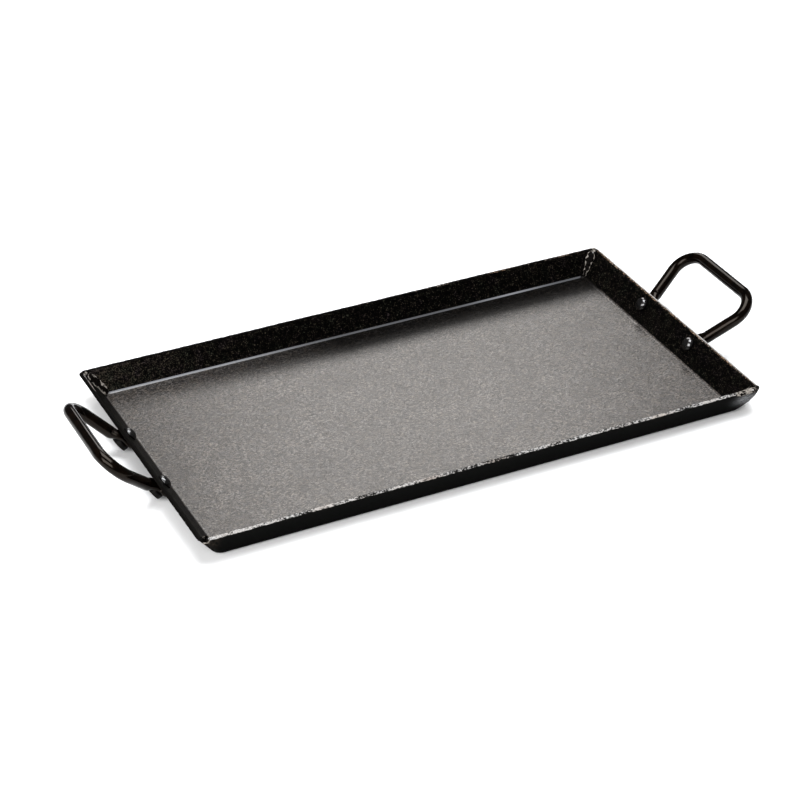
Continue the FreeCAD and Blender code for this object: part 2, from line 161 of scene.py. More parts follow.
# ---------------------------------------------------------------- materials
class Nodes:
    """Builds one procedural material from named steps."""

    def __init__(self, name):
        self.material = bpy.data.materials.new(name)
        self.material.use_nodes = True
        self.tree = self.material.node_tree
        self.shader = self.tree.nodes["Principled BSDF"]
        self.place = self.new("ShaderNodeTexCoord").outputs["Object"]

    def new(self, kind, **values):
        node = self.tree.nodes.new(kind)
        for key, value in values.items():
            setattr(node, key, value)
        return node

    def link(self, source, target):
        self.tree.links.new(source, target)

    def noise(self, size, detail=3.0, rough=0.55, stretch=None):
        """Noise whose features are about `size` millimetres, as a 0 to 1 value."""
        node = self.new("ShaderNodeTexNoise")
        node.inputs["Scale"].default_value = 1.0 / (size * MM)
        node.inputs["Detail"].default_value = detail
        node.inputs["Roughness"].default_value = rough
        place = self.place
        if stretch:
            mapping = self.new("ShaderNodeMapping")
            mapping.inputs["Scale"].default_value = stretch[0]
            mapping.inputs["Rotation"].default_value = stretch[1]
            self.link(place, mapping.inputs["Vector"])
            place = mapping.outputs["Vector"]
        self.link(place, node.inputs["Vector"])
        return node.outputs["Fac"]

    def ramp(self, value, *stops):
        """Colours (or greys, given as numbers) at positions along a value."""
        node = self.new("ShaderNodeValToRGB")
        while len(node.color_ramp.elements) < len(stops):
            node.color_ramp.elements.new(0.5)
        for element, (position, colour) in zip(node.color_ramp.elements, stops):
            element.position = position
            if not isinstance(colour, tuple):
                colour = (colour, colour, colour)
            element.color = (*colour, 1)
        self.link(value, node.inputs["Fac"])
        return node.outputs["Color"]

    def range(self, value, low, high, to_low, to_high, kind="LINEAR"):
        """A value mapped from one range to another and held inside it."""
        node = self.new("ShaderNodeMapRange", interpolation_type=kind)
        for key, number in (
            ("From Min", low), ("From Max", high), ("To Min", to_low), ("To Max", to_high)
        ):
            node.inputs[key].default_value = number
        self.link(value, node.inputs["Value"])
        return node.outputs["Result"]

    def spread(self, value, to_low, to_high):
        """A noise value, which mostly lies between 0.3 and 0.7, mapped to another range."""
        return self.range(value, 0.3, 0.7, to_low, to_high)

    def math(self, operation, a, b):
        node = self.new("ShaderNodeMath", operation=operation)
        for socket, value in zip(node.inputs, (a, b)):
            if isinstance(value, (int, float)):
                socket.default_value = value
            else:
                self.link(value, socket)
        return node.outputs[0]

    def add(self, a, b):
        return self.math("ADD", a, b)

    def times(self, a, b):
        return self.math("MULTIPLY", a, b)

    def mix(self, factor, a, b, blend="MIX"):
        node = self.new("ShaderNodeMix", data_type="RGBA", blend_type=blend)
        sockets = (node.inputs[0], node.inputs[6], node.inputs[7])
        for socket, value in zip(sockets, (factor, a, b)):
            if isinstance(value, (int, float)):
                socket.default_value = value
            elif isinstance(value, tuple):
                socket.default_value = (*value, 1)
            else:
                self.link(value, socket)
        return node.outputs[2]

    def attribute(self, name):
        """A number that the piece's points carry."""
        node = self.new("ShaderNodeAttribute", attribute_name=name)
        return node.outputs["Fac"]

    def bump(self, height, depth, strength=1.0, normal=None):
        """A bump whose full height is `depth` millimetres."""
        node = self.new("ShaderNodeBump")
        node.inputs["Distance"].default_value = depth * MM
        node.inputs["Strength"].default_value = strength
        self.link(height, node.inputs["Height"])
        if normal is not None:
            self.link(normal, node.inputs["Normal"])
        return node.outputs["Normal"]

    def finish(self, colour, roughness, normal, specular=0.5, metallic=0.0):
        self.link(colour, self.shader.inputs["Base Color"])
        self.link(roughness, self.shader.inputs["Roughness"])
        self.link(normal, self.shader.inputs["Normal"])
        self.shader.inputs["Specular IOR Level"].default_value = specular
        self.shader.inputs["Metallic"].default_value = metallic
        return self.material


def floor_steel():
    """The cooking surface: dark grey seasoned steel, finely mottled and faintly brushed, with
    painted shade in a band along the back, standing for the floor's reflection of the dark back
    wall, and a pale painted highlight on the fold of the back wall."""
    m = Nodes("seasoned_floor")
    grain = m.noise(1.15, 3, 0.55)
    fine = m.noise(0.6, 2, 0.6)
    patches = m.noise(38, 3, 0.5)
    scratches = m.noise(1.1, 2, 0.5, stretch=((0.4, 1.3, 1), (0, 0, math.radians(34))))
    tone = m.add(m.times(grain, 0.6), m.times(scratches, 0.4))
    colour = m.ramp(tone, (0.36, (0.004, 0.0035, 0.0035)), (0.5, (0.03, 0.0272, 0.0255)),
                    (0.62, (0.105, 0.094, 0.086)))
    hue = m.ramp(m.noise(4.5, 2), (0.35, (0.93, 0.96, 1.0)), (0.65, (1.0, 0.95, 0.88)))
    colour = m.mix(0.8, colour, hue, "MULTIPLY")
    shade = m.ramp(patches, (0.3, 0.88), (0.6, 1.0))
    colour = m.mix(1.0, colour, shade, "MULTIPLY")
    rough = m.add(m.spread(patches, 0.25, 0.22), m.spread(grain, 0.07, -0.07))
    normal = m.bump(patches, 0.12, 0.25)
    normal = m.bump(grain, 0.13, 1.0, normal)
    normal = m.bump(scratches, 0.04, 0.6, normal)
    normal = m.bump(fine, 0.06, 0.8, normal)
    # Painted shade: the colour and the reflection strength are darkened in a band along the back
    # wall, standing for the floor's reflection of the dark wall.
    xyz = m.new("ShaderNodeSeparateXYZ")
    m.link(m.place, xyz.inputs[0])
    band = m.range(xyz.outputs["Y"], BAND_Y[0] * MM, BAND_Y[1] * MM, 0.0, 1.0, "SMOOTHSTEP")
    along = m.range(xyz.outputs["X"], BAND_X[0] * MM, BAND_X[1] * MM, 0.0, 0.9)
    back_shade_factor = m.math("SUBTRACT", 1.0, m.times(band, along))
    colour = m.mix(1.0, colour, back_shade_factor, "MULTIPLY")
    # Painted highlight: pale bluish grey along the fold at the foot of the back wall, where the
    # bend catches the light.
    colour = m.mix(m.attribute("fold"), colour, (0.2, 0.205, 0.22))
    m.shader.inputs["Specular Tint"].default_value = (1.0, 0.965, 0.93, 1)
    m.finish(colour, rough, normal)
    m.link(m.times(back_shade_factor, 0.29), m.shader.inputs["Specular IOR Level"])
    return m.material


def wall_steel():
    """The walls' inner faces: near black with a fine speckle, denser where `bloom` is high."""
    m = Nodes("seasoned_wall")
    mottle = m.noise(3.0, 3, 0.6)
    speck = m.noise(0.95, 2, 0.6)
    tone = m.add(m.times(mottle, 0.25), m.times(speck, 0.75))
    tone = m.add(tone, m.times(m.attribute("bloom"), 0.07))
    colour = m.ramp(tone, (0.49, (0.0001, 0.0001, 0.0001)), (0.565, (0.001, 0.0009, 0.0008)),
                    (0.65, (0.03, 0.0265, 0.022)))
    hue = m.ramp(m.noise(9, 3), (0.35, (0.85, 1.0, 0.88)), (0.5, (1.0, 0.92, 0.8)),
                 (0.65, (0.95, 0.82, 1.0)))
    colour = m.mix(0.8, colour, hue, "MULTIPLY")
    rough = m.range(tone, 0.35, 0.65, 0.4, 0.6)
    normal = m.bump(mottle, 0.12, 0.6)
    normal = m.bump(speck, 0.08, 0.8, normal)
    return m.finish(colour, rough, normal, specular=0.025)


def outer_steel():
    """The outside and underside: a smooth near black coating, brown where the corners were ground,
    and a pale bluish painted sheen on the front wall near the right corner, standing for the
    rounded corner's reflection of the bright surroundings."""
    m = Nodes("seasoned_outside")
    mottle = m.noise(5, 4, 0.6)
    speck = m.noise(1.6, 3, 0.6)
    colour = m.ramp(mottle, (0.35, (0.0002, 0.0002, 0.0002)), (0.65, (0.0012, 0.0013, 0.001)))
    ground = m.attribute("ground")
    bare = m.ramp(speck, (0.45, (0.0012, 0.0009, 0.0007)), (0.62, (0.04, 0.032, 0.024)))
    colour = m.mix(m.times(ground, 0.75), colour, bare)
    # Painted reflection: a pale bluish grey patch on the front wall near the right corner.
    painted_sheen = m.ramp(speck, (0.35, (0.085, 0.087, 0.091)), (0.65, (0.23, 0.233, 0.24)))
    colour = m.mix(m.attribute("painted_sheen"), colour, painted_sheen)
    rough = m.add(m.spread(mottle, 0.5, 0.62), m.times(ground, 0.1))
    normal = m.bump(mottle, 0.08, 0.4)
    normal = m.bump(speck, 0.06, 0.5, normal)
    return m.finish(colour, rough, normal, specular=0.01)


def rim_steel():
    """The cut edge: black, and where its wear-and-highlight value is high, pale steel or, with
    `warm`, brown. The pale steel is partly worn bare metal and partly a painted highlight of the
    overhead light on the level edge.
    """
    m = Nodes("cut_edge")
    wear_and_highlight = m.attribute("wear_and_highlight")
    warm = m.attribute("warm")
    chips = m.noise(1.5, 3, 0.6)
    fine = m.noise(0.7, 3, 0.6)
    pale = m.ramp(fine, (0.32, (0.13, 0.126, 0.122)), (0.66, (0.46, 0.45, 0.44)))
    brown = m.ramp(fine, (0.32, (0.045, 0.024, 0.013)), (0.66, (0.28, 0.19, 0.125)))
    bare = m.mix(warm, pale, brown)
    coat = m.ramp(fine, (0.3, (0.0008, 0.0007, 0.0006)), (0.7, (0.004, 0.0035, 0.003)))
    level = m.add(wear_and_highlight, m.spread(chips, -0.38, 0.38))
    shown = m.range(level, 0.4, 0.66, 0.0, 1.0)
    colour = m.mix(shown, coat, bare)
    rough = m.add(m.spread(fine, 0.48, 0.65), m.times(shown, -0.05))
    normal = m.bump(chips, 0.2, 0.6)
    normal = m.bump(fine, 0.06, 0.5, normal)
    return m.finish(colour, rough, normal, specular=0.02)


def weld_steel():
    """A weld bead: dark and uneven, with pale scaly patches where `crest` is high. On the fillers
    at the front corners' rims the pale patches are partly a painted highlight.
    """
    m = Nodes("weld_bead")
    crest = m.attribute("crest")
    blotch = m.noise(2.6, 4, 0.65)
    fine = m.noise(0.8, 3, 0.6)
    level = m.add(crest, m.spread(blotch, -0.3, 0.3))
    shown = m.range(level, 0.4, 0.55, 0.0, 1.0)
    scale = m.ramp(fine, (0.3, (0.06, 0.052, 0.045)), (0.66, (0.29, 0.265, 0.235)))
    dark = m.ramp(fine, (0.3, (0.0004, 0.0003, 0.0003)), (0.7, (0.003, 0.0023, 0.0018)))
    colour = m.mix(shown, dark, scale)
    rough = m.spread(fine, 0.35, 0.6)
    normal = m.bump(blotch, 0.3, 0.7)
    normal = m.bump(fine, 0.08, 0.5, normal)
    return m.finish(colour, rough, normal, specular=0.015)


def gloss_steel(name, roughness, warmth, shine):
    """Glossy seasoned bar: almost black, with a brown cast and faint draw marks."""
    m = Nodes(name)
    mottle = m.noise(6, 4, 0.6)
    fine = m.noise(1.2, 3, 0.6)
    colour = m.ramp(
        mottle,
        (0.35, (0.0003, 0.0002, 0.0002)),
        (0.65, (0.0008 + 0.0016 * warmth, 0.0007 + 0.0005 * warmth, 0.0006)),
    )
    rough = m.add(
        m.spread(mottle, roughness - 0.05, roughness + 0.07), m.spread(fine, -0.03, 0.03)
    )
    normal = m.bump(mottle, 0.1, 0.35)
    normal = m.bump(fine, 0.02, 0.4, normal)
    tint = (1.0, 1.0 - 0.14 * warmth, 1.0 - 0.26 * warmth, 1)
    m.shader.inputs["Specular Tint"].default_value = tint
    return m.finish(colour, rough, normal, specular=shine)


FLOOR = floor_steel()
WALL = wall_steel()
OUTSIDE = outer_steel()
EDGE = rim_steel()
WELD = weld_steel()
HANDLE = gloss_steel("seasoned_handle", 0.1, 1.0, 0.125)
RIVET = gloss_steel("seasoned_rivet", 0.2, 0.0, 0.9)
RIVET_HEAD = gloss_steel("seasoned_rivet_head", 0.45, 0.3, 0.1)


# ---------------------------------------------------------------- the pan
WALL_STEPS = 12
ARC_STEPS = 6
RIM_STEPS = 5
STRAIGHT_STEP = 1.3
CORNER_STEPS = 7

# Strips of level sheet at the two ends of the wall's section.
UNDER_STRIP = 9.0
FLOOR_STRIPS = (0.6, 4.0)

# The cut edge's rounding: its size, then its middle, in from the wall and below the edge.
EDGE_ROUND = 0.4
EDGE_IN = 0.12
EDGE_BELOW = 0.1


def wall_profile(flare, half):
    """The wall's section as (distance from the middle, height), from the underside out
    round the bend, up the outer face, over the rim and down to the floor. Every section
    has the same number of points, so two of them can be blended round a corner."""
    slope = math.tan(flare)
    across = SHEET / math.cos(flare)
    turn = math.pi / 2 - flare
    drop = RIM_FALL * math.sin(flare)

    def outer(z):
        """The outer face's distance from the middle at height z."""
        return half - (RIM_Z - z) * slope

    def bend(corner, base, radius):
        """Points of the bend between the level sheet and the wall."""
        start = corner - radius * math.tan(turn / 2)
        angles = [turn * i / ARC_STEPS for i in range(ARC_STEPS + 1)]
        return [
            (start + radius * math.sin(angle), base + radius * (1 - math.cos(angle)))
            for angle in angles
        ]

    points = [(outer(0) - UNDER_STRIP, 0.0)]
    points += bend(outer(0), 0.0, OUTER_BEND)
    low = points[-1][1]
    tall = RIM_Z - EDGE_ROUND - drop - low
    heights = [low + tall * i / WALL_STEPS for i in range(1, WALL_STEPS + 1)]
    points += [(outer(z), z) for z in heights]

    outside = outer(RIM_Z - drop)
    inside = outer(RIM_Z) - across
    points.append((outside - EDGE_IN, RIM_Z - drop - EDGE_BELOW))
    for i in range(RIM_STEPS):
        t = i / (RIM_STEPS - 1)
        place = (outside - EDGE_ROUND) * (1 - t) + (inside + EDGE_ROUND) * t
        points.append((place, RIM_Z - drop * (1 - t)))
    points.append((inside + EDGE_IN, RIM_Z - EDGE_BELOW))

    inner = bend(outer(SHEET) - across, SHEET, INNER_BEND)
    high = RIM_Z - EDGE_ROUND
    tall = high - inner[-1][1]
    heights = [high - tall * i / WALL_STEPS for i in range(WALL_STEPS)]
    points += [(outer(z) - across, z) for z in heights]
    points += inner[::-1]
    for strip in FLOOR_STRIPS:
        points.append((points[-1][0] - strip, SHEET))
    return points


END_PROFILE = wall_profile(END_FLARE, RIM_X)
SIDE_PROFILE = wall_profile(SIDE_FLARE, RIM_Y)
COUNT = len(END_PROFILE)

# The profile points at the foot of the outer face, at the rim's outer and inner sides, and
# at the foot of the inner face.
OUTER_FIRST = ARC_STEPS + 1
RIM_FIRST = OUTER_FIRST + WALL_STEPS + 1
RIM_LAST = RIM_FIRST + RIM_STEPS + 1
INNER_LAST = RIM_LAST + WALL_STEPS

# The order round the pan, and each corner's signs in X and Y and its starting angle.
SIDE_ORDER = (
    "front", "front_right", "right", "back_right", "back", "back_left", "left", "front_left",
)
LONG_SIDES = ("front", "back")
END_SIDES = ("left", "right")
CORNER_SIGNS = {
    "front_left": (-1, -1, 180), "front_right": (1, -1, 270),
    "back_right": (1, 1, 0), "back_left": (-1, 1, 90),
}

# The slits' widths, and the wider notch at the front left: degrees, from this height up.
GAPS = {"front_left": 0.7, "front_right": 0.5, "back_right": 0.7, "back_left": 0.7}
NOTCH_ANGLE = 33
NOTCH_FOOT = 12.5

# The walls' bow, the cut edge's raggedness by side, its depth and its bites.
BOW = 0.5
RAGGED = {"front": 0.65, "front_left": 0.8, "front_right": 0.8}
RAGGED_ELSEWHERE = 0.5
RAGGED_DEPTH = 0.22
BITE = 0.7

# The front right corner's swelling below its rim, and the lumps on every corner.
SWELLING = 4.6
SWELLING_TALL = 22.0
CORNER_LUMP = 0.25

# How pale and how brown the cut edge is on each side, from 0 to 1 and past both. The paleness is
# partly worn bare steel and partly a painted highlight of the overhead light on the level edge.
EDGE_LOOK = {
    "front": (0.47, 0.1), "right": (0.55, 0.5), "back": (-0.2, 0.8), "left": (-1.0, 0.2),
    "front_left": (-1.0, 0.3), "front_right": (0.45, 0.5),
    "back_right": (0.4, 0.45), "back_left": (-1.0, 0.2),
}

# The painted sheen's middle, a pale patch standing for the reflection on the front wall near the
# right corner: in from the right rim, and its height.
SHEEN_IN = 12
SHEEN_HEIGHT = 14

# The pan's materials by their place in its list.
FLOOR_SLOT, WALL_SLOT, OUTSIDE_SLOT, EDGE_SLOT = range(4)


def corner_radius(k):
    """The plan radius of the corner at profile point k."""
    if k <= RIM_FIRST:
        return OUTER_CORNER
    if k >= RIM_LAST:
        return INNER_CORNER
    return OUTER_CORNER + (INNER_CORNER - OUTER_CORNER) * (k - RIM_FIRST) / (RIM_LAST - RIM_FIRST)


def pan_columns():
    """The places round the pan: (side, fraction along it, which side of the mitre)."""
    columns = []
    for side in SIDE_ORDER:
        if side in CORNER_SIGNS:
            for half in (0, 1):
                for i in range(CORNER_STEPS + 1):
                    columns.append((side, i / CORNER_STEPS, half))
        else:
            length = 2 * (RIM_X if side in LONG_SIDES else RIM_Y)
            steps = int(length / STRAIGHT_STEP)
            columns += [(side, i / steps, None) for i in range(1, steps)]
    return columns


def pan_point(column, k):
    """The pan's surface at a column and profile point, still perfectly regular."""
    side, t, half = column
    a, za = END_PROFILE[k]
    b, zb = SIDE_PROFILE[k]
    radius = corner_radius(k)
    sign = -1 if side in ("front", "left") else 1
    if side in LONG_SIDES:
        return (a - radius) * (2 * t - 1) * -sign, sign * b, zb
    if side in END_SIDES:
        return sign * a, (b - radius) * (2 * t - 1) * sign, za

    sx, sy, start = CORNER_SIGNS[side]
    z = min(za, zb)
    open_half = 0.0
    if OUTER_FIRST < k < INNER_LAST:
        gap = GAPS[side] * ease((z - MITRE_FOOT) / MITRE_EASE)
        open_half = math.degrees(math.asin(gap / 2 / radius))
        if side == "front_left" and half == 1:
            open_half += NOTCH_ANGLE * ease((z - NOTCH_FOOT) / (RIM_Z - NOTCH_FOOT))
    if half == 0:
        angle = (45 - open_half) * t
    else:
        angle = 45 + open_half + (45 - open_half) * t
    angle = math.radians(start + angle)
    return (
        sx * (a - radius) + radius * math.cos(angle),
        sy * (b - radius) + radius * math.sin(angle),
        za + (zb - za) * math.sin(angle) ** 2,
    )


def pull_in(x, y, side, amount):
    """Moves a point towards the middle, square to its wall, or both ways at a corner."""
    if side not in LONG_SIDES:
        x -= math.copysign(amount, x)
    if side not in END_SIDES:
        y -= math.copysign(amount, y)
    return x, y


def roughen(point, column, k):
    """Adds the sheet's real unevenness: bowed long walls, a ragged cut edge, lumpy corners
    and the front right corner's swelling. All of it stays inside the pan's own box."""
    x, y, z = point
    side = column[0]
    corner = side in CORNER_SIGNS
    rise = ease((z - SHEET) / (RIM_Z - SHEET))
    if side not in END_SIDES:
        inward = BOW * rise * (0.6 + 0.5 * wobble(x, 0, 0, 90, 3.1))
        y -= math.copysign(max(inward, 0.0), y)
    if RIM_FIRST - 1 <= k <= RIM_LAST + 1:
        size = RAGGED.get(side, RAGGED_ELSEWHERE)
        ragged = wobble(x, y, 0, 4.5, 1.0) + 0.7 * wobble(x, y, 0, 1.9, 5.0)
        z -= size * RAGGED_DEPTH * (0.9 + ragged)
        if not RIM_FIRST + 1 < k < RIM_LAST - 1:
            bite = max(0.0, wobble(x, y, k, 3.2, 9.0) - 0.1)
            x, y = pull_in(x, y, side, size * BITE * bite)
    if side == "front_right" and OUTER_FIRST <= k < RIM_FIRST:
        below = min(max(RIM_Z - z, 0) / SWELLING_TALL, 1.0)
        swelling = SWELLING * math.sin(math.pi * below) ** 0.7
        x += math.copysign(swelling * 0.95, x)
        y += math.copysign(swelling * 0.3, y)
    if corner and OUTER_FIRST <= k < RIM_FIRST:
        lump = CORNER_LUMP * (1 + wobble(x, y, z, 2.4, 2.0)) * rise
        x, y = pull_in(x, y, side, lump)
    return x, y, z


def edge_wear_and_highlight(side, k, x, y):
    """How pale and how brown the cut edge is at a point: its paleness is partly worn bare steel
    and partly a painted highlight of the overhead light. The paleness varies along each side and
    between the edge's outer and inner halves."""
    worn, brown = EDGE_LOOK[side]
    level = worn + 0.22 * wobble(x, y, 0, 26, 4.0)
    hue = brown + 0.3 * wobble(x, y, 0, 18, 8.0)
    if side == "back":
        level += 0.5 * ease((x + 160) / 330)
    if side == "front":
        level += 0.16 * ease((-90 - x) / 60) + 0.2 * ease((x - 60) / 60)
        # On the front the outer side is kept dark, so the pale band of wear and painted highlight
        # stays thin.
        if k <= RIM_FIRST:
            level -= 0.5
    # On the right, a painted highlight: the rim's outer side is pale grey, its inner side brown.
    if side == "right":
        outer = k <= RIM_FIRST + 3
        level += 0.65 if outer else -0.2
        hue += -0.5 if outer else 0.5
    if side == "left" and k >= RIM_LAST:
        near_back = ease((y - RIM_Y + 42) / 12)
        level = 1.5 * near_back - 0.7 + 0.2 * wobble(x, y, 0, 9, 4.0)
    return min(level, 1.0), min(max(hue, 0.0), 1.0)


def pan_marks(side, k, x, y, z):
    """The amount of each mark that the pan's materials draw at a point, by its name."""
    wear_and_highlight, warm = edge_wear_and_highlight(side, k, x, y)
    near_corner = max(abs(x) - RIM_X + 19, 0) / 14 * max(abs(y) - RIM_Y + 15, 0) / 12
    # Painted reflection: where the front wall shows its pale sheen near the right corner.
    painted_sheen = bell(x, RIM_X - SHEEN_IN, 8) * bell(z, SHEEN_HEIGHT, 5) * (y < 0)
    # Painted highlight along the back wall's fold, stronger at the left end and near x = 140.
    on_fold = side == "back" and k > INNER_LAST and z > SHEET + 0.25
    lit = 0.3 + 0.45 * ease((-20 - x) / 90) + 0.45 * bell(x, 140, 30)
    return {
        "wear_and_highlight": wear_and_highlight,
        "warm": warm,
        "ground": min(near_corner, 1.0) * ease((z - 3) / 8),
        "painted_sheen": 0.8 * painted_sheen,
        "bloom": bell(x, -RIM_X, 95) * (side == "back"),
        "fold": lit * on_fold,
    }


def pan_slot(k):
    """Which of the pan's materials the strip above profile point k takes."""
    if k < RIM_FIRST - 1:
        return OUTSIDE_SLOT
    if k <= RIM_LAST:
        return EDGE_SLOT
    if k <= INNER_LAST:
        return WALL_SLOT
    return FLOOR_SLOT


def build_pan():
    """The whole sheet as one skin, open along the corner slits."""
    columns = pan_columns()
    total = len(columns)
    points, faces, indices, marks = [], [], [], {}
    for column in columns:
        for k in range(COUNT):
            point = roughen(pan_point(column, k), column, k)
            points.append(point)
            for key, value in pan_marks(column[0], k, *point).items():
                marks.setdefault(key, []).append(value)

    def add(face, slot):
        faces.append(face)
        indices.append(slot)

    def close_slit(i, order):
        """The cut through the sheet at a slit's side: steps down the walls, then the rest."""
        first, last = OUTER_FIRST + 1, INNER_LAST - 1
        while first < RIM_FIRST - 1:
            step = (first, first + 1, last - 1, last)
            add(tuple(i * COUNT + k for k in step[::order]), EDGE_SLOT)
            first, last = first + 1, last - 1
        add(tuple(i * COUNT + k for k in range(first, last + 1)[::order]), EDGE_SLOT)

    for i, (side, t, half) in enumerate(columns):
        j = (i + 1) % total
        slit = side in CORNER_SIGNS and t == 1.0 and half == 0
        for k in range(COUNT - 1):
            if slit and OUTER_FIRST < k < INNER_LAST - 1:
                continue
            face = (i * COUNT + k, j * COUNT + k, j * COUNT + k + 1, i * COUNT + k + 1)
            add(face, pan_slot(k))
        if slit:
            close_slit(i, 1)
            close_slit(j, -1)
    add(tuple(i * COUNT for i in range(total)), OUTSIDE_SLOT)
    add(tuple(i * COUNT + COUNT - 1 for i in range(total)), FLOOR_SLOT)

    materials = (FLOOR, WALL, OUTSIDE, EDGE)
    pan = make_piece("pan_body", points, faces, materials, indices, marks)
    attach(pan, "root")
    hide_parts("griddle_pan")
    return pan


# ---------------------------------------------------------------- corner welds
BEAD_SIDES = 14
BEAD_STEPS = 46

# A bead's half width and height. It stands in from the corner by BEAD_SPREAD of its half
# width, less BEAD_SINK, so that its two toes lie on the walls.
BEAD_HALF = 4.0
BEAD_RISE = 0.9
BEAD_SPREAD = 0.77
BEAD_SINK = 0.5

# How far a bead's foot stays above the floor, and its end below the rim and short of it.
BEAD_FOOT = 0.3
BEAD_BELOW = 0.9
BEAD_SHORT = 2.4

# How much each part of a weld varies, and over how many millimetres.
WELD_VARIES = {
    "width": (0.2, 2.4), "height": (0.45, 1.8), "drift": (0.14, 4.0), "lump": (0.4, 1.5),
    "speckle": (0.55, 2.6),
}


def vary(part, x, y, z, seed=0.0):
    """Noise for one part of a weld, in the amount and at the size that it has."""
    amount, size = WELD_VARIES[part]
    return amount * wobble(x, y, z, size, seed)


class Bead:
    """Lays runs of ragged, rippled weld into one mesh."""

    def __init__(self, seed):
        self.seed = seed
        self.points, self.faces, self.crest = [], [], []

    def lay(self, low, high, facing, half, rise, steps, pale=0.1, taper=1.0, toes=0.95):
        """One run from low to high. Its crown faces `facing`; `pale` lightens all of it and
        `toes` its two sides. `taper` is its low end's width as a share of its high end's."""
        seed = self.seed + len(self.points) * 0.013
        along = (high - low).normalized()
        length = (high - low).length
        side = along.cross(facing).normalized()
        out = side.cross(along).normalized()
        if out.dot(facing) < 0:
            out = -out
        base = len(self.points)
        for i in range(steps + 1):
            t = i / steps
            place = t * length
            middle = low.lerp(high, t)
            end = math.sqrt(max(1 - abs(2 * t - 1) ** 6, 0.0))
            width = half * (taper + (1 - taper) * t) * (1 + vary("width", place, seed, 0)) * end
            height = rise * (1 + vary("height", place, seed, 7)) * end
            drift = half * vary("drift", place, seed, 15)
            for j in range(BEAD_SIDES):
                angle = 2 * math.pi * j / BEAD_SIDES
                c, s = math.cos(angle), math.sin(angle)
                ripple = 0.1 * math.sin(place * 2.4 + 2.2 * c) * end
                lift = max(s, -0.35) * (height + ripple)
                spread = c * width + drift
                lump = vary("lump", spread, place, lift, seed) * end
                self.points.append(tuple(middle + side * spread + out * (lift + lump)))
                rib = toes * abs(c) ** 3 - 0.2
                speckle = vary("speckle", place, 4 * c, seed)
                self.crest.append(min(pale + rib + speckle, 1.0))
        rings = [base + i * BEAD_SIDES for i in range(steps + 1)]
        for first, second in zip(rings, rings[1:]):
            self.faces += ring_faces(first, second, BEAD_SIDES)
        self.faces.append(tuple(range(base, base + BEAD_SIDES))[::-1])
        self.faces.append(tuple(range(rings[-1], rings[-1] + BEAD_SIDES)))


def inner_corner(sx, sy, z):
    """The middle of a corner's inner surface at height z."""
    round_in = INNER_CORNER * (1 - math.sqrt(0.5))
    across_x = SHEET / math.cos(END_FLARE) + round_in
    across_y = SHEET / math.cos(SIDE_FLARE) + round_in
    return Vector((
        sx * (RIM_X - (RIM_Z - z) * math.tan(END_FLARE) - across_x),
        sy * (RIM_Y - (RIM_Z - z) * math.tan(SIDE_FLARE) - across_y),
        z,
    ))


def fill_front_right(bead):
    """Filler weld along the top of the front rim, up to the corner. Its pale scale is partly bare
    metal and partly a painted highlight on its level top.
    """
    start = Vector((RIM_X - 2.6, 2.6 - RIM_Y, RIM_Z - 1.4))
    end = Vector((RIM_X - 23, 2.2 - RIM_Y, RIM_Z - 1.1))
    bead.lay(start, end, Vector((0, -0.45, 1)), 2.1, 1.1, 30, 0.75, toes=0.1)


def fill_front_left(bead, high):
    """A thin pale arc of weld over the notch, and a small dark lump beside it. The arc's paleness
    is partly bare metal and partly a painted highlight on the notch's curved edge.
    """
    path = (
        Vector((4.5 - RIM_X, 3.6 - RIM_Y, RIM_Z - 3.8)),
        Vector((7.1 - RIM_X, 1.9 - RIM_Y, RIM_Z - 3.2)),
        Vector((8.0 - RIM_X, 0.7 - RIM_Y, RIM_Z - 0.7)),
        Vector((8.4 - RIM_X, 3.2 - RIM_Y, RIM_Z - 0.6)),
    )
    for a, b in zip(path, path[1:]):
        over = (b - a).normalized() * 0.5
        bead.lay(a - over, b + over, Vector((-0.4, -0.9, 0.6)), 0.42, 0.5, 12, 0.7)
    start = Vector((high.x - 1.2, high.y + 2.6, RIM_Z - 0.9))
    bead.lay(start, start + Vector((0.6, -2.6, 0)), Vector((0, 0, 1)), 1.0, 0.7, 10, -0.1)


def fill_back(bead, high, sx, sy):
    """The lump that fills the top of a back corner's slit."""
    start = Vector((high.x - sx * 1.6, high.y - sy * 1.6, RIM_Z - 1.6))
    end = start + Vector((sx * 3.6, sy * 3.6, 0.3))
    bead.lay(start, end, Vector((0, 0, 1)), 2.1, 1.3, 14, 0.6)


def build_weld(corner):
    """A ragged bead up the inside of a corner, with the filling at the top of its slit."""
    sx, sy, start = CORNER_SIGNS[corner]
    low = inner_corner(sx, sy, SHEET + BEAD_FOOT)
    high = inner_corner(sx, sy, RIM_Z - BEAD_BELOW)
    along = (high - low).normalized()
    inward = Vector((-sx, -sy, 0))
    inward = (inward - along * inward.dot(along)).normalized()
    inward *= BEAD_HALF * BEAD_SPREAD - BEAD_SINK
    taper = 0.3 if corner == "back_right" else 0.9
    pale = 0.24 if corner == "back_left" else 0.14
    bead = Bead(start * 0.37 + 2.0)
    bead.lay(
        low + inward * taper, high + inward - along * BEAD_SHORT, inward,
        BEAD_HALF, BEAD_RISE, BEAD_STEPS, pale, taper,
    )
    if corner == "front_right":
        fill_front_right(bead)
    elif corner == "front_left":
        fill_front_left(bead, high)
    else:
        fill_back(bead, high, sx, sy)
    name = f"weld_bead_{corner}"
    piece = make_piece(name, bead.points, bead.faces, (WELD,), None, {"crest": bead.crest})
    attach(piece, "root")
    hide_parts(f"corner_weld_{corner}")
    return piece


# ---------------------------------------------------------------- handles
ROD_SIDES = 28
TIP_STEPS = 8
FLAT_STEPS = 3
NECK_STEPS = 10
LEG_STEPS = 12
TURN_STEPS = 16
GRIP_STEPS = 10

# The section's squareness: 2 is an ellipse, and more is nearer a rectangle. Above
# HAMMERED it carries hammer marks and its inner face lies flat on the wall.
SQUARE = 3.4
ROUND = 2.0
HAMMERED = 2.2


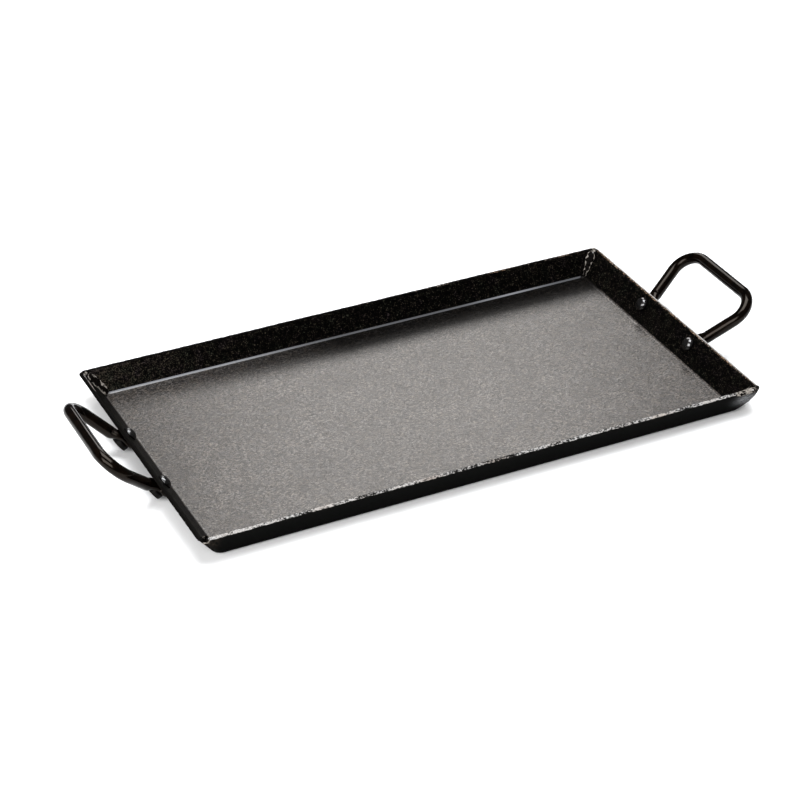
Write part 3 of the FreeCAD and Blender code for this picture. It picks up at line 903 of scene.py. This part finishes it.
def wall_frame(side):
    """The end wall's outer face at rivet height: origin, up the slope, and out of it."""
    sign = 1 if side == "right" else -1
    up = Vector((sign * math.sin(END_FLARE), 0, math.cos(END_FLARE)))
    out = Vector((sign * math.cos(END_FLARE), 0, -math.sin(END_FLARE)))
    floor_edge = RIM_X - (RIM_Z - SHEET) * math.tan(END_FLARE) - SHEET / math.cos(END_FLARE)
    foot = Vector((sign * floor_edge, 0, SHEET))
    return foot + up * RIVET_RISE + out * SHEET, up, out


def flat_end(origin, up, out, across):
    """Stations of a handle's hammered end, from its rounded tip to the neck."""
    stations = []
    middle = origin + out * PADDLE_THICK / 2 + across * RIVET_Y
    for i in range(TIP_STEPS + 1):
        u = -PADDLE_HALF * math.cos(math.pi / 2 * i / TIP_STEPS)
        width = math.sqrt(max(PADDLE_HALF ** 2 - u ** 2, 0.02))
        thick = PADDLE_THICK / 2 * (0.82 + 0.18 * ease(i / 3))
        stations.append((middle + up * (u - PADDLE_DROP), out, width, thick, SQUARE))
    for i in range(FLAT_STEPS + 1):
        centre = middle + up * (PADDLE_FLAT * i / FLAT_STEPS)
        stations.append((centre, out, PADDLE_HALF - 0.2 * i, PADDLE_THICK / 2, SQUARE))
    return stations


def neck(sign, lift, start, up, elbow, leg):
    """Stations that turn the flat end into the round rod and bend it from wall to leg."""
    stations = []
    wall_lift = math.pi / 2 - END_FLARE
    flat_width = PADDLE_HALF - 0.6
    flat_thick = PADDLE_THICK / 2
    for i in range(1, NECK_STEPS + 1):
        t = i / NECK_STEPS
        centre = (start + up * (NECK_UP * t)).lerp(elbow + leg * (NECK_OUT * t), ease(t))
        angle = wall_lift + (lift - wall_lift) * ease(t)
        facing = Vector((sign * math.sin(angle), 0, -math.cos(angle)))
        width = flat_width + (ROD_RADIUS - flat_width) * ease(t * 1.1)
        thick = flat_thick + (ROD_RADIUS - flat_thick) * ease(t)
        square = SQUARE + (ROUND - SQUARE) * ease(t * 1.3)
        stations.append((centre, facing, width, thick, square))
    return stations


def handle_half(side):
    """Stations of the back half of a handle, from the flat end's tip to the grip's middle:
    (centre, outward normal, half width, half thickness, squareness)."""
    sign = 1 if side == "right" else -1
    origin, up, out = wall_frame(side)
    across = Vector((0, 1, 0))
    lift = LIFT[side]
    splay = math.atan2(GRIP_Y - ELBOW_Y, GRIP_REACH[side])
    reach = Vector((sign * math.cos(lift), 0, math.sin(lift)))
    leg = (reach * math.cos(splay) + across * math.sin(splay)).normalized()
    normal = Vector((sign * math.sin(lift), 0, -math.cos(lift)))
    elbow = origin + up * ELBOW_RISE + out * ELBOW_OFFSET + across * ELBOW_Y
    start = origin + up * NECK_RISE + out * (PADDLE_THICK / 2 + 0.1) + across * (RIVET_Y + 0.3)
    stations = flat_end(origin, up, out, across)
    stations += neck(sign, lift, start, up, elbow, leg)

    turn = math.pi / 2 + splay
    leg_start = elbow + leg * NECK_OUT
    corner = elbow + leg * (GRIP_REACH[side] / math.cos(splay))
    leg_end = corner - leg * (GRIP_BEND * math.tan(turn / 2))
    for i in range(1, LEG_STEPS + 1):
        centre = leg_start.lerp(leg_end, i / LEG_STEPS)
        stations.append((centre, normal, ROD_RADIUS, ROD_RADIUS, ROUND))

    inward = (-across - leg * (-across).dot(leg)).normalized()
    for i in range(1, TURN_STEPS + 1):
        angle = turn * i / TURN_STEPS
        offset = leg * math.sin(angle) + inward * (1 - math.cos(angle))
        swell = 1 - 0.035 * math.sin(math.pi * i / TURN_STEPS)
        centre = leg_end + offset * GRIP_BEND
        stations.append((centre, normal, ROD_RADIUS * swell, ROD_RADIUS, ROUND))

    last = stations[-1][0]
    for i in range(1, GRIP_STEPS + 1):
        centre = Vector((last.x, last.y * (1 - i / GRIP_STEPS), last.z))
        stations.append((centre, normal, ROD_RADIUS, ROD_RADIUS, ROUND))
    return stations


def round_off(value, square):
    """A sine or cosine pushed out towards a rectangle's side."""
    return math.copysign(abs(value) ** (2 / square), value)


def build_handle(side):
    """One bent rod with two hammered ends, as a single skin."""
    half = handle_half(side)
    mirrored = [
        (Vector((c.x, -c.y, c.z)), normal, width, thick, square)
        for c, normal, width, thick, square in half[-2::-1]
    ]
    stations = half + mirrored
    total = len(stations)
    points, faces = [], []
    for i, (centre, normal, width, thick, square) in enumerate(stations):
        before = stations[max(i - 1, 0)][0]
        after = stations[min(i + 1, total - 1)][0]
        tangent = (after - before).normalized()
        wide = tangent.cross(normal).normalized()
        face_out = wide.cross(tangent).normalized()
        for j in range(ROD_SIDES):
            angle = 2 * math.pi * j / ROD_SIDES
            c = round_off(math.cos(angle), square)
            s = round_off(math.sin(angle), square)
            point = centre + wide * (c * width) + face_out * (s * thick)
            away = (point - centre).normalized()
            dent = 0.07 * wobble(*point, 7, 2.5) + 0.03 * wobble(*point, 2.5, 6.0)
            if square > HAMMERED:
                dent += 0.1 * wobble(*point, 3.0, 11.0)
                if away.dot(face_out) < 0:
                    dent = 0
            points.append(tuple(point + away * min(dent, 0.0)))
    for i in range(total - 1):
        faces += ring_faces(i * ROD_SIDES, (i + 1) * ROD_SIDES, ROD_SIDES)
    faces.append(tuple(range(ROD_SIDES))[::-1])
    faces.append(tuple(range((total - 1) * ROD_SIDES, total * ROD_SIDES)))
    rod = make_piece(f"rod_{side}", points, faces, (HANDLE,))
    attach(rod, "root")
    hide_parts(f"handle_{side}")
    return rod


# ---------------------------------------------------------------- rivets
RIVET_SIDES = 40
DOME_STEPS = 8

# How far the dome and the head sink into what they clamp, and the head's middle dips.
RIVET_FIT = 0.02
DIMPLE = 0.12


def rivet_profile():
    """The rivet's section as (radius, height out of the wall's outer face): the dome from
    its top, the shank, and the flat head with its rounded edge."""
    profile = []
    for i in range(DOME_STEPS + 1):
        angle = math.pi / 2 * i / DOME_STEPS
        radius = DOME_RADIUS * math.sin(angle) ** 0.85
        profile.append((radius, -SHEET - DOME_HEIGHT * math.cos(angle) ** 0.9))
    wall = RIVET_FIT - SHEET
    face = PADDLE_THICK - RIVET_FIT
    top = PADDLE_THICK + HEAD_HEIGHT
    profile += [
        (DOME_RADIUS - 0.1, wall), (SHANK_RADIUS, wall), (SHANK_RADIUS, face),
        (HEAD_RADIUS - 0.25, face), (HEAD_RADIUS, PADDLE_THICK + 0.4),
        (HEAD_RADIUS, PADDLE_THICK + 1.3), (HEAD_RADIUS - 0.08, top - 0.8),
        (HEAD_RADIUS - 0.25, top - 0.35), (HEAD_RADIUS - 0.7, top - 0.08),
        (HEAD_RADIUS - 1.3, top), (HEAD_RADIUS - 2.6, top - 0.04), (1.2, top - 0.1),
    ]
    return profile


def build_rivet(side, end):
    """A hammered dome inside the tray, the shank, and a flat formed head on the handle."""
    origin, up, out = wall_frame(side)
    sy = -1 if end == "front" else 1
    across = Vector((0, 1, 0))
    origin = origin + across * (sy * RIVET_Y)
    seed = (3 if side == "left" else 8) + sy
    profile = rivet_profile()
    rings = profile[1:]
    points, faces, indices = [], [], []
    for radius, height in rings:
        for j in range(RIVET_SIDES):
            angle = 2 * math.pi * j / RIVET_SIDES
            c, s = math.cos(angle), math.sin(angle)
            dent = 0.0
            if radius != SHANK_RADIUS:
                dent = min(0.0, 0.16 * wobble(c * radius, s * radius, height, 2.6, seed) - 0.04)
            sink = math.copysign(dent, -height) if radius < 4.4 else 0.0
            point = origin + (up * c + across * s) * (radius + dent) + out * (height + sink)
            points.append(tuple(point))
    for i in range(len(rings) - 1):
        faces += ring_faces(i * RIVET_SIDES, (i + 1) * RIVET_SIDES, RIVET_SIDES)
        indices += [1 if rings[i][1] > 0 else 0] * RIVET_SIDES
    dome_top, head_top = len(points), len(points) + 1
    points.append(tuple(origin + out * profile[0][1]))
    points.append(tuple(origin + out * (PADDLE_THICK + HEAD_HEIGHT - DIMPLE)))
    last = (len(rings) - 1) * RIVET_SIDES
    for j in range(RIVET_SIDES):
        n = (j + 1) % RIVET_SIDES
        faces.append((dome_top, n, j))
        faces.append((head_top, last + j, last + n))
        indices += [0, 1]
    rivet = make_piece(f"rivet_body_{side}_{end}", points, faces, (RIVET, RIVET_HEAD), indices)
    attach(rivet, "root")
    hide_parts(f"rivet_{side}_{end}")
    return rivet


build_pan()
for name in CORNER_SIGNS:
    build_weld(name)
for side in END_SIDES:
    build_handle(side)
    for end in ("front", "back"):
        build_rivet(side, end)


# ---------------------------------------------------------------- stage, lights, camera
STAGE_HALF = 4000.0
LIGHT_TARGET = Vector((0, 0, 0.02))
WORLD_STRENGTH = 0.13

# The camera: its direction, its distance from the cooking surface's middle, how far it is
# shifted across its own view (all in millimetres), and its lens.
CAMERA_AZ = math.radians(-26.04)
CAMERA_EL = math.radians(32.114)
CAMERA_DISTANCE = 1812.9
CAMERA_RIGHT = -13.2
CAMERA_UP = 0.817
CAMERA_LENS = 107.07


def build_stage():
    """A plain pale floor with the faintest unevenness."""
    m = Nodes("studio_floor")
    tone = m.noise(400, 2)
    colour = m.ramp(tone, (0.3, 0.9), (0.7, 0.93))
    rough = m.spread(tone, 0.75, 0.85)
    normal = m.bump(tone, 0.1, 0.1)
    finish = m.finish(colour, rough, normal, specular=0.1)
    half = STAGE_HALF
    points = [(-half, -half, 0), (half, -half, 0), (half, half, 0), (-half, half, 0)]
    ground = make_piece("studio_ground", points, [(0, 1, 2, 3)], (finish,))


def add_panel(name, position, size, power, colour=(1, 1, 1)):
    """A soft rectangular light aimed at the object, in metres and watts."""
    light = bpy.data.lights.new(name, "AREA")
    light.shape = "RECTANGLE"
    light.size, light.size_y = size
    light.energy = power
    light.color = colour
    lamp = bpy.data.objects.new(name, light)
    bpy.context.scene.collection.objects.link(lamp)
    lamp.location = position
    aim = LIGHT_TARGET - Vector(position)
    lamp.rotation_euler = aim.to_track_quat("-Z", "Y").to_euler()
    lamp.visible_camera = False
    return lamp


def build_world():
    """Even dim white light from all round."""
    world = bpy.data.worlds.new("studio")
    world.use_nodes = True
    background = world.node_tree.nodes["Background"]
    background.inputs["Color"].default_value = (1, 1, 1, 1)
    background.inputs["Strength"].default_value = WORLD_STRENGTH
    bpy.context.scene.world = world


def build_camera():
    """The eye looks along -back, and is shifted a little across its own view."""
    level = math.cos(CAMERA_EL)
    back = Vector((math.sin(CAMERA_AZ) * level, -math.cos(CAMERA_AZ) * level, math.sin(CAMERA_EL)))
    right = (-back).cross(Vector((0, 0, 1))).normalized()
    up = right.cross(-back)
    place = back * CAMERA_DISTANCE + right * CAMERA_RIGHT + up * CAMERA_UP + Vector((0, 0, SHEET))
    data = bpy.data.cameras.new("camera")
    data.sensor_width = 36
    data.lens = CAMERA_LENS
    data.clip_start = 0.01
    data.clip_end = 50
    camera = bpy.data.objects.new("camera", data)
    bpy.context.scene.collection.objects.link(camera)
    camera.location = place * MM
    camera.rotation_euler = (-back).to_track_quat("-Z", "Y").to_euler()
    bpy.context.scene.camera = camera


build_stage()
add_panel("overhead_panel", (0.12, 0.1, 2.0), size=(1.5, 1.3), power=69, colour=(0.965, 0.98, 1.0))
add_panel("back_panel", (0.74, 1.5, 1.17), size=(0.8, 0.8), power=11, colour=(1.0, 0.985, 0.965))
add_panel("fill_panel", (-1.3, -1.0, 1.2), size=(1.7, 1.0), power=46)
build_world()
build_camera()
bpy.context.scene.view_settings.view_transform = "Standard"
